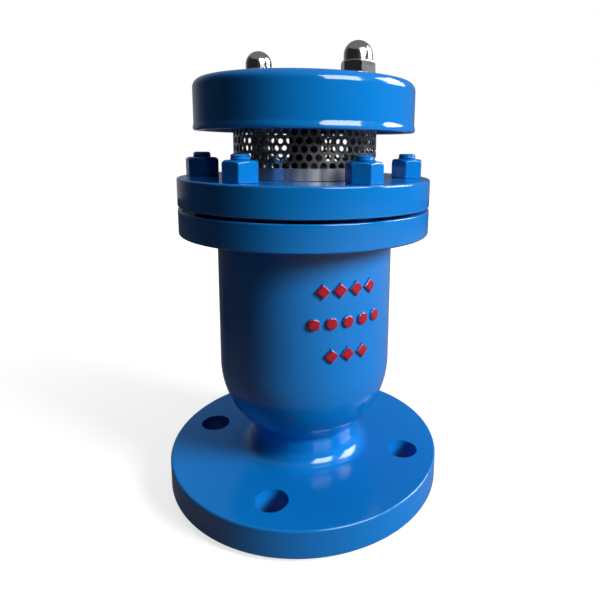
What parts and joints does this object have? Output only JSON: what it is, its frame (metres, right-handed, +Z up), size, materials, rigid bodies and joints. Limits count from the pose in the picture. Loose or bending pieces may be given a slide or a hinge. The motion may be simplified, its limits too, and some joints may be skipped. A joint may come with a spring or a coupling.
{
  "type": "quick exhaust valve",
  "caption": "Flanged air release valve: domed barrel on a neck, bolted bonnet with perforated vent screen under a round cap, and a float that lifts a sealing disc.",
  "frame": {"origin": "centre of the raised face under the inlet flange", "axes": "+Z up the valve's axis, -Y to the front, with a bonnet stud there and the flange's bolt holes astride it"},
  "size_m": [0.165, 0.165, 0.2582],
  "materials": {
    "blue_enamel": "gloss enamel on cast steel",
    "stainless_sheet": "dull rolled stainless",
    "stainless_polished": "polished stainless",
    "stainless_turned": "turned stainless",
    "ball_stainless": "satin pressed stainless",
    "bronze": "turned bronze",
    "seal_rubber": "matt nitrile",
    "gasket_sheet": "fibre sheet"
  },
  "bodies": {
    "housing": {"valve_body": "blue_enamel", "bonnet": "blue_enamel", "bonnet_studs": "blue_enamel", "bonnet_nuts": "blue_enamel", "cap": "blue_enamel", "bonnet_gasket": "gasket_sheet", "seat_ring": "bronze", "stem_guide": "bronze", "guide_rods": "stainless_turned", "cage_ring": "stainless_turned", "cage_nuts": "stainless_turned", "screen_mesh": "stainless_sheet", "screen_strip": "stainless_sheet", "cap_studs": "stainless_turned", "cap_washers": "stainless_polished", "cap_nuts": "stainless_polished"},
    "float": {"float_ball": "ball_stainless", "float_boss": "stainless_turned", "float_stem": "stainless_turned", "stem_locknuts": "stainless_turned", "valve_disc": "stainless_turned", "disc_seal": "seal_rubber", "seal_clamp_ring": "stainless_turned", "seal_screws": "stainless_turned"}
  },
  "joints": [
    {"name": "float_lift", "type": "slide", "parent": "housing", "child": "float", "axis": [0, 0, 1], "range_m": [0, 0.018]}
  ]
}
